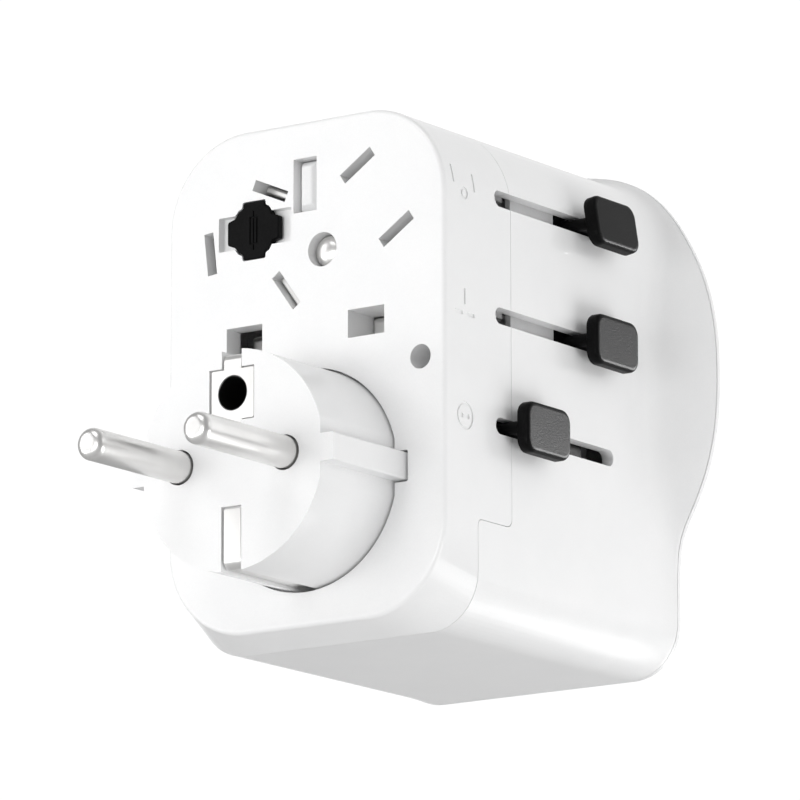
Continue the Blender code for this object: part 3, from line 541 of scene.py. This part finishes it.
def fuse_cap_points(grow=0.0):
    """The cap's outline: an eight-sided disc with square lugs above, below and at its two sides."""
    half, lug, side = 3.2 + grow, 2.0 + grow, 1.75 + grow
    reach_x, reach_z = 4.85 + grow, 4.35 + grow
    points = [(reach_x - 0.3, -side), (reach_x - 0.3, side), (3.4 + grow, side + 0.2), (lug + 0.7, half)]
    points += [(lug, half + 0.3), (lug, reach_z), (-lug, reach_z), (-lug, half + 0.3)]
    points += [(-lug - 0.7, half), (-3.6 - grow, side + 0.4), (-reach_x, side), (-reach_x, -side)]
    points += [(-3.6 - grow, -side - 0.4), (-lug - 0.7, -half)]
    points += [(-lug, -half - 0.3), (-lug, -reach_z), (lug, -reach_z), (lug, -half - 0.3)]
    points += [(lug + 0.7, -half), (3.4 + grow, -side - 0.2)]
    return [(FUSE[0] + x, FUSE[1] + z) for x, z in points]


# ---- engraved socket pictograms ---------------------------------------------------------------------
def stroke(start, end, width):
    """A thin bar between two points in Y and Z."""
    a, b = Vector(start), Vector(end)
    run = (b - a).normalized() * width / 2
    side = Vector((-run.y, run.x))
    return [tuple(a - run - side), tuple(b + run - side), tuple(b + run + side), tuple(a - run + side)]


def pictograms():
    """Pin patterns in place of words, as (outline, hole or None) in Y and Z: US, UK and round European."""
    y, us_z, uk_z, eu_z, line = -25.4, 65.3, 47.3, 30.7, 0.42
    bars = [((y - 2.6, us_z + 0.2), (y - 2.6, us_z + 2.6), line),
            ((y + 2.6, us_z - 0.4), (y + 2.6, us_z + 2.0), line),
            ((y, uk_z + 0.3), (y, uk_z + 2.2), 0.5),
            ((y - 2.2, uk_z - 1.3), (y - 0.8, uk_z - 1.3), 0.6),
            ((y + 0.8, uk_z - 1.3), (y + 2.2, uk_z - 1.3), 0.6)]
    marks = [(stroke(start, end, width), None) for start, end, width in bars]
    for centre, radius, sides in (((y, us_z - 1.2), 0.95, 32), ((y, eu_z), 2.1, 48)):
        marks.append((circle(centre, radius, sides), circle(centre, radius - line, sides)))
    for side in (-1, 1):
        marks.append((circle((y + side * 0.8, eu_z), 0.36, 20), None))
    return marks


# ---- casing pieces ----------------------------------------------------------------------------------
def walled(slot):
    """A slot's width and height with a tunnel's wall all round it."""
    return slot[0] + 2 * TUNNEL_WALL, slot[1] + 2 * TUNNEL_WALL


def inner_features():
    """Guide tunnels behind the wall face's openings, and the tongues behind the side slots."""
    near = FRONT + WALL - 0.5
    # Each tunnel's outline and how far behind the wall face it ends.
    shapes = [(rectangle(centre_xz("uk_line_pin"), *walled(UK_SLOT)), 6.6),
              (rectangle(centre_xz("uk_neutral_pin"), *walled(UK_SLOT)), 3.4),
              (rectangle(centre_xz("uk_earth_pin"), *walled(UK_EARTH_SLOT)), 5.0),
              (circle(centre_xz("us_ground_pin"), GROUND_HOLE + TUNNEL_WALL), 5.0)]
    for name in BLADES:
        outline = rectangle(centre_xz(name), *walled(BLADE_SLOT), turn=turn_of(name))
        shapes.append((outline, 2.3 if name == "au_neutral_blade" else 4.0))
    solids = [prism(outline, near, FRONT + depth) for outline, depth in shapes]
    for name, side in SLOT_ROWS.items():
        xs = sorted(side * x for x in TONGUE_X)
        heights = (SLOT_Z[name] - TONGUE_BELOW, SLOT_Z[name] + TONGUE_ABOVE)
        solids.append(cuboid(xs, (near, TONGUE_BACK), heights))
    return solids


def wall_face_tools():
    """Cutters for the openings in the wall face."""
    outlines = [rectangle(centre_xz("uk_line_pin"), *UK_SLOT),
                rectangle(centre_xz("uk_neutral_pin"), *UK_SLOT),
                rectangle(centre_xz("uk_earth_pin"), *UK_EARTH_SLOT)]
    outlines += [rectangle(centre_xz(name), *BLADE_SLOT, turn=turn_of(name)) for name in BLADES]
    outlines += [circle(centre_xz("us_ground_pin"), GROUND_HOLE), module_outline(MODULE_GAP)]
    return [prism(outline, FRONT - 3, FRONT + 8) for outline in outlines]


def engrave(thing, outline, hole):
    """Cuts a mark 0.2 mm deep into the right wall, following its surface."""
    tool = raw("engraving", sideways(prism(outline, 20, 28)))
    if hole:
        cut(tool, sideways(prism(hole, 19, 29)))
    below_surface = body_outline(0, 0.2)
    cut(tool, loft([(below_surface, FRONT - 2), (below_surface, FRONT + 30)]))
    mesh = bmesh.new()
    mesh.from_mesh(tool.data)
    bpy.data.objects.remove(tool)
    cut(thing, mesh)


def build_front_cover():
    """The shell in front of the seam, with everything that opens in its wall face."""
    cover = raw("front_cover_shell", shell(0.0, 30.0))
    inside = body_outline(0, WALL)
    cut(cover, loft([(inside, FRONT + WALL + 0.2), (inside, FRONT + 35)]))
    cut(cover, seam_region(True))
    for centre in SCREWS:
        add(cover, prism(circle(centre, SCREW_BOSS, 48), FRONT + 1.5, FRONT + SCREW_BOSS_DEPTH))
    for solid in inner_features():
        add(cover, solid)
    for tool in wall_face_tools() + side_slots():
        cut(cover, tool)
    recess = rectangle((FUSE[0] + FUSE_SHIFT[0], FUSE[1] + FUSE_SHIFT[1]), *FUSE_RECESS, radius=0.15, steps=3)
    cut(cover, prism(recess, FRONT - 1, FRONT + FUSE_RECESS_DEPTH))
    cap_hole = rounded(fuse_cap_points(FUSE_CAP_GAP), 0.5)
    cut(cover, prism(cap_hole, FRONT - 1, FRONT + FUSE_RECESS_DEPTH))
    cut(cover, turned(FUSE, [(FUSE_BORE, FRONT - 1), (FUSE_BORE, FRONT + 6)]))
    for centre in SCREWS:
        cut(cover, turned(centre, [(SCREW_WELL, FRONT - 1), (SCREW_WELL, FRONT + SCREW_WELL_DEPTH)], 48))
        cut(cover, turned(centre, [(SCREW_SHAFT, FRONT + 8), (SCREW_SHAFT, FRONT + 20)], 32))
    for outline, hole in pictograms():
        engrave(cover, outline, hole)
    return finish_piece(cover, WHITE, "housing", ["front_cover"], 0.1)


def build_main_housing():
    """The shell behind the seam, with the blocks that the cover's screws go into."""
    housing = raw("main_housing_shell", shell(2.0, DEPTH - RIM - SEAM_GAP))
    cut(housing, shell(1.0, DEPTH + 2.0, WALL))
    cut(housing, seam_region(False))
    for tool in side_slots():
        cut(housing, tool)
    for x, z in SCREWS:
        side = 1 if x > 0 else -1
        xs = sorted((side * (HALF_WIDTH - 1.0), x - side * SCREW_BLOCK))
        add(housing, cuboid(xs, (FRONT + 17.4, FRONT + 23), (z - SCREW_BLOCK, z + SCREW_BLOCK)))
    return finish_piece(housing, WHITE, "housing", ["main_housing"], 0.1)


def build_rear_plate():
    """The end of the flange, with the recessed socket, its openings for other plugs and a rounded rim."""
    rings = [(body_outline(DEPTH), REAR - RIM)]
    for k in range(5):
        turn = math.radians(90 * k / 4)
        outline = body_outline(DEPTH, RIM_ROUND * (1 - math.cos(turn)))
        rings.append((outline, REAR - RIM_ROUND + RIM_ROUND * math.sin(turn)))
    plate = raw("rear_plate_detail", loft(rings))
    radius, floor = SOCKET_RADIUS, REAR - SOCKET_DEPTH
    add(plate, turned((0, FLANGE_Z), [(radius + 0.9, floor - 2.0), (radius + 0.9, REAR - 0.6)]))
    bowl = [(radius - 0.7, floor), (radius - 0.2, floor + 0.2), (radius, floor + 0.7), (radius, REAR - 0.5),
            (radius + 0.15, REAR - 0.15), (radius + 0.6, REAR + 0.1), (radius + 0.6, REAR + 2)]
    cut(plate, turned((0, FLANGE_Z), bowl, 160))
    openings = []
    for side in (1, -1):
        openings.append(rectangle((side * 10.9, FLANGE_Z), 7.6, 5.0, radius=0.8))
        openings.append(rectangle((side * 6.5, FLANGE_Z), 2.3, 7.4, turn=side * 0.26, radius=0.4))
    openings.append(rectangle((0, FLANGE_Z + 12.2), 5.4, 7.4, radius=1.8))
    for outline in openings:
        cut(plate, prism(outline, floor - 4, floor + 2))
    return finish_piece(plate, WHITE, "housing", ["rear_plate"], 0.2)


# ---- the round European module ----------------------------------------------------------------------
def mirrored(right):
    """An outline in X and Z, the same at both sides, from its right-hand points as (x, height over EU_Z)."""
    points = [(x, EU_Z + height) for x, height in right]
    return points + [(-x, z) for x, z in reversed(points)]


def build_module():
    """A hollow round plug body: notches and seats for the earth clips, and holes for pins and sleeve."""
    face, far = EU_FACE, MODULE[1].y
    module = raw("eu_module_detail", prism(module_outline(), face, far))
    add(module, turned((0, EU_Z), [(17.65, far - 2.5), (17.65, far)]))
    cut(module, turned((0, EU_Z), [(14.25, face + 2.5), (14.25, far + 2)]))
    notch = (-NOTCH_HALF_WIDTH, NOTCH_HALF_WIDTH)
    for side in (1, -1):
        cut(module, cuboid(notch, (face - 1, far + 1), sorted((EU_Z + side * 15.2, EU_Z + side * 18))))
    seat = mirrored([(1.8, 3.0), (1.8, 5.8), (4.05, 5.8), (4.05, 13.7), (1.8, 13.7), (1.8, 17)])
    cut(module, prism(seat, face - 1, face + 0.9))
    cut(module, cuboid(notch, (face - 1, face + 0.9), (EU_Z - 17, EU_Z - 6.8)))
    for name in ("eu_line_pin", "eu_neutral_pin"):
        cut(module, turned(centre_xz(name), [(2.62, face - 1), (2.62, face + 5)], 64))
    cut(module, turned((0, EU_Z + EARTH_OFFSET), [(2.9, face - 1), (2.9, face + 5)], 64))
    return finish_piece(module, WHITE, "eu_plug", ["eu_module"], 0.12)


def build_pins():
    """Round pins with rounded tips, a little narrower where they go into the module."""
    for name in ("eu_line_pin", "eu_neutral_pin"):
        low, high = box_mm(name)
        tip, far, radius = low.y, high.y, (high.x - low.x) / 2
        profile = [(0.4, tip + 0.01), (radius - PIN_NOSE - 0.02, tip + 0.01)]
        for k in range(1, 13):
            turn = math.radians(90 * k / 12)
            out, back = 1 - math.sin(turn), 1 - math.cos(turn)
            profile.append((radius - PIN_NOSE * out, tip + PIN_NOSE * back))
        neck = radius - 0.12
        profile += [(radius, tip + 6), (radius, EU_FACE - 0.5), (neck, EU_FACE + 0.05), (neck, far)]
        pin = raw(name + "_detail", turned(centre_xz(name), profile))
        finish_piece(pin, NICKEL, "eu_plug", [name])


def bent_strip(centres, half_width, thickness):
    """A strip of sheet metal along a path in Y and Z, its width along X."""
    left, right = [], []
    for i, point in enumerate(centres):
        before, after = Vector(centres[max(i - 1, 0)]), Vector(centres[min(i + 1, len(centres) - 1)])
        run = (after - before).normalized()
        across = Vector((-run.y, run.x)) * thickness / 2
        left.append(tuple(Vector(point) + across))
        right.append(tuple(Vector(point) - across))
    return sideways(prism(left + list(reversed(right)), -half_width, half_width))


def build_earth_clips():
    """Two strips of sheet metal, bent from the module's face back along its flats, and the earth sleeve."""
    face, plate_y, bend = EU_FACE, EU_FACE + 0.45, 1.1
    corner = CLIP_RADIUS - bend
    earth = (0, EU_Z + EARTH_OFFSET)
    for name, side, start in (("eu_earth_clip_top", 1, 12.5), ("eu_earth_clip_bottom", -1, 7.1)):
        path = [(plate_y, EU_Z + side * start), (plate_y, EU_Z + side * corner * 0.97)]
        for degrees in range(0, 91, 10):
            turn = math.radians(degrees)
            back, out = bend * (1 - math.cos(turn)), bend * math.sin(turn)
            path.append((plate_y + back, EU_Z + side * (corner + out)))
        path += [(box_mm(name)[1].y, EU_Z + side * CLIP_RADIUS)]
        clip = raw(name + "_detail", bent_strip(path, 1.55, 0.42))
        if side > 0:
            plate = mirrored([(1.6, 3.2), (1.6, 6.0), (3.8, 6.0), (3.8, 13.5), (1.6, 13.5)])
            add(clip, prism(rounded(plate, 0.25, 3), plate_y - 0.21, plate_y + 0.215))
            cut(clip, turned(earth, [(2.62, face - 1), (2.62, face + 3)]))
        finish_piece(clip, NICKEL, "eu_plug", [name], 0.08)
    near = face + 0.25
    profile = [(2.55, near + 0.1), (2.5, near), (2.44, near + 0.02), (2.38, near + 0.15),
               (2.38, near + 13), (2.55, near + 13)]
    sleeve = raw("eu_earth_sleeve_detail", tube(earth, profile))
    finish_piece(sleeve, GLOSS, "eu_plug", ["eu_earth_sleeve"])


# ---- knobs, fuse and the rest -----------------------------------------------------------------------
def knob_rings(centre):
    """Rings of a pillow-edged knob, along its thickness, as (outline, x)."""
    edge = ((0.35, KNOB_NEAR), (0.1, KNOB_NEAR + 0.08), (0.0, KNOB_NEAR + 0.3), (0.0, KNOB_FAR - 0.62),
            (0.06, KNOB_FAR - 0.38), (0.2, KNOB_FAR - 0.16), (0.42, KNOB_FAR - 0.04), (0.75, KNOB_FAR))
    rings = []
    for inset, x in edge:
        length, height, radius = KNOB_LENGTH - 2 * inset, KNOB_HEIGHT - 2 * inset, KNOB_RADIUS - inset * 0.9
        rings.append((rectangle(centre, length, height, radius=radius, steps=10), x))
    return rings


def build_knobs():
    """Each slider: a knob outside the wall, a neck through the slot and a backing strip inside it."""
    for name, side in SLOT_ROWS.items():
        height = SLOT_Z[name]
        knob_y = KNOB_Y - (KNOB_TRAVEL if name == "eu_slider" else 0.0)
        front = knob_y - KNOB_LENGTH / 2 + 0.15
        knob = sideways(loft(knob_rings((knob_y, height))))
        if name == "us_slider":
            pivot = Vector((HALF_WIDTH, knob_y, height)) * MM
            tilt = Matrix.Rotation(-US_KNOB_TILT, 4, "Y")
            turn = Matrix.Translation(pivot) @ tilt @ Matrix.Translation(-pivot)
            bmesh.ops.transform(knob, matrix=turn, verts=knob.verts)
        neck_outline = rectangle((front + 4.75, height), 9.5, SLOT_HEIGHT - 0.6, radius=0.9)
        neck = sideways(prism(neck_outline, 22.0, KNOB_NEAR + 0.6))
        backing = cuboid((21.4, 22.4), (front - 1.4, front + 23.8), (height - 2.0, height + 2.0))
        if side < 0:
            for mesh in (knob, neck, backing):
                bmesh.ops.transform(mesh, matrix=Matrix.Scale(-1, 4, (1, 0, 0)), verts=mesh.verts)
                bmesh.ops.recalc_face_normals(mesh, faces=mesh.faces)
        slider = raw(name + "_detail", knob)
        add(slider, neck, backing)
        finish_piece(slider, BLACK, BODY_OF[name], [name], 0.12, angle=50.0)


def build_fuse_cap():
    """The cap with its skirt, engraved with a generic fuse symbol."""
    outline = rounded(fuse_cap_points(), 0.45)
    inset = rounded(fuse_cap_points(-0.12), 0.4)
    rings = [(inset, CAP_FACE), (outline, CAP_FACE + 0.12), (outline, CAP_FACE + 1.1)]
    cap = raw("fuse_cap_detail", loft(rings))
    add(cap, turned(FUSE, [(2.75, FRONT + 0.8), (2.75, FRONT + 4.0)], 64))
    x, z = FUSE
    line = 0.26
    symbol = [rectangle((x, z + 2.0), 1.5, line), rectangle((x, z - 2.0), 1.5, line),
              rectangle((x - 0.62, z), line, 4.26), rectangle((x + 0.62, z), line, 4.26),
              rectangle((x, z), line, 6.0)]
    for mark in symbol:
        cut(cap, prism(mark, CAP_FACE - 1, CAP_FACE + 0.22))
    finish_piece(cap, BLACK, "fuse", ["fuse_cap"], 0.05)


def build_ground_pin():
    """A round pin with a domed tip."""
    low, high = box_mm("us_ground_pin")
    radius, tip, dome = (high.x - low.x) / 2, low.y, 1.2
    profile = [(0.25, tip)]
    for k in range(1, 11):
        turn = math.radians(90 * k / 10)
        profile.append((radius * math.sin(turn) * 0.995 + 0.01, tip + dome * (1 - math.cos(turn))))
    profile += [(radius, tip + dome + 0.1), (radius, high.y)]
    pin = raw("us_ground_pin_detail", turned(centre_xz("us_ground_pin"), profile, 64))
    finish_piece(pin, NICKEL, "us_plug", ["us_ground_pin"])


# The bevel of each CAD node that is shown as a copy with its edges broken.
REFINED = {"us_line_blade": 0.15, "us_neutral_blade": 0.15, "au_line_blade": 0.15, "au_neutral_blade": 0.15,
           "au_earth_blade": 0.15, "uk_line_pin": 0.3, "uk_neutral_pin": 0.3, "uk_earth_pin": 0.3,
           "us_carriage": 0.2, "uk_carriage": 0.2, "au_carriage": 0.2, "eu_carriage": 0.2,
           "contact_carrier": 0.3, "fuse_cartridge": 0.3, "line_socket_contact": 0.1,
           "neutral_socket_contact": 0.1, "earth_socket_contact": 0.1, "line_busbar": 0.08,
           "neutral_busbar": 0.08, "earth_busbar": 0.08, "interlock_bar": 0.15, "socket_shutter": 0.15,
           "socket_earth_clip_top": 0.08, "socket_earth_clip_bottom": 0.08}


def build_rest():
    """Refines the nodes listed above, and gives a finish to those that are shown as they are."""
    for name, bevel in REFINED.items():
        refine(name, bevel)
    for name, thing in NODES.items():
        if thing.hide_render:
            continue
        finish = SLOTS[SLOT_OF[name]]
        for slot in thing.material_slots:
            slot.material = finish
        if not thing.material_slots:
            thing.data.materials.append(finish)


# ---- studio -----------------------------------------------------------------------------------------
AIM = Vector((0, 0, 0.03))
FLOOR_Z = -0.2
AMBIENT, BACKDROP = 0.40, 1.05
REAR_GLOW = (0.15, 0.93, 0.0)
# Each lamp's name, place in metres, width and height, and power in watts.
LAMPS = (("front_low", (0.0, -0.9, -0.05), (0.6, 0.25), 2.7),
         ("front_left_low", (-0.663, -0.663, -0.119), (0.42, 0.42), 1.95),
         ("front_left", (-0.623, -0.623, 0.386), (0.42, 0.42), 0.9),
         ("front_high", (0.0, -0.611, 0.758), (0.42, 0.42), 1.5),
         ("right", (0.88, 0.0, 0.386), (0.42, 0.42), 0.4),
         ("right_low", (0.32, 0.0, -0.13), (0.12, 0.12), 0.18),
         ("right_under", (0.22, 0.10, -0.13), (0.15, 0.15), 0.17),
         ("rear_under", (0.10, 0.30, -0.16), (0.15, 0.15), 0.17))


def area_light(name, location, size, power):
    """A soft light that faces the middle of the object and isn't seen by the camera."""
    data = bpy.data.lights.new(name, "AREA")
    data.shape = "RECTANGLE"
    data.size, data.size_y = size
    data.energy = power
    lamp = bpy.data.objects.new(name, data)
    lamp.location = location
    lamp.visible_camera = False
    lamp.rotation_euler = (AIM - Vector(location)).to_track_quat("-Z", "Y").to_euler()
    bpy.context.scene.collection.objects.link(lamp)
    return lamp


def build_world():
    """White for the camera; for everything else soft and even, with more from the socket's side."""
    world = bpy.data.worlds.new("studio")
    bpy.context.scene.world = world
    world.use_nodes = True
    tree = world.node_tree
    soft = tree.nodes["Background"]
    soft.inputs["Color"].default_value = (1, 1, 1, 1)
    direction = tree.nodes.new("ShaderNodeTexCoord").outputs["Generated"]
    towards_rear = tree.nodes.new("ShaderNodeVectorMath")
    towards_rear.operation = "DOT_PRODUCT"
    towards_rear.inputs[1].default_value = REAR_GLOW
    tree.links.new(direction, towards_rear.inputs[0])
    glow = maths(tree, "MAXIMUM", towards_rear.outputs["Value"], 0.0)
    tree.links.new(maths(tree, "ADD", glow, AMBIENT), soft.inputs["Strength"])
    backdrop = node(tree, "ShaderNodeBackground", Color=(1, 1, 1, 1), Strength=BACKDROP)
    mix = tree.nodes.new("ShaderNodeMixShader")
    tree.links.new(tree.nodes.new("ShaderNodeLightPath").outputs["Is Camera Ray"], mix.inputs["Fac"])
    tree.links.new(soft.outputs[0], mix.inputs[1])
    tree.links.new(backdrop.outputs[0], mix.inputs[2])
    tree.links.new(mix.outputs[0], tree.nodes["World Output"].inputs["Surface"])


def build_floor():
    """A wide pale floor, built standing up and laid flat, below the object and the camera."""
    floor = raw("floor", prism(rectangle((0, 0), 8000, 8000), 0, 10))
    floor.matrix_world = Matrix.Translation((0, 0, FLOOR_Z)) @ Matrix.Rotation(math.radians(-90), 4, "X")
    floor.data.materials.append(FLOOR)


def build_studio():
    """Floor, world and lamps; the last lamp gives only the knobs a sheen."""
    build_floor()
    build_world()
    for name, location, size, power in LAMPS:
        area_light(name, location, size, power)
    sheen = area_light("knob_sheen", (0.36, 0.505, 0.03), (0.34, 0.16), 9.5)
    sheen.visible_diffuse = False
    lit = bpy.data.collections.new("knobs")
    for name in SLOT_ROWS:
        lit.objects.link(bpy.data.objects[name + "_detail"])
    sheen.light_linking.receiver_collection = lit
    bpy.context.scene.view_settings.view_transform = "Standard"
    bpy.context.scene.view_settings.look = "None"


def build_camera():
    """A long lens, low on the side of the round module and the three knobs."""
    data = bpy.data.cameras.new("camera")
    data.lens = 324.2
    data.sensor_width = 36.0
    data.clip_start, data.clip_end = 0.01, 50
    camera = bpy.data.objects.new("camera", data)
    right = Vector((0.8154, 0.5789, -0.0016))
    up = Vector((0.1233, -0.1709, 0.9776))
    view = Vector((-0.5656, 0.7973, 0.2107))
    rotation = Matrix((right, up, -view)).transposed()
    camera.matrix_world = Matrix.Translation((0.6115, -0.8682, -0.18825)) @ rotation.to_4x4()
    bpy.context.scene.collection.objects.link(camera)
    bpy.context.scene.camera = camera


build_camera()
build_front_cover()
build_main_housing()
build_rear_plate()
build_module()
build_pins()
build_earth_clips()
build_knobs()
build_fuse_cap()
build_ground_pin()
build_rest()
build_studio()
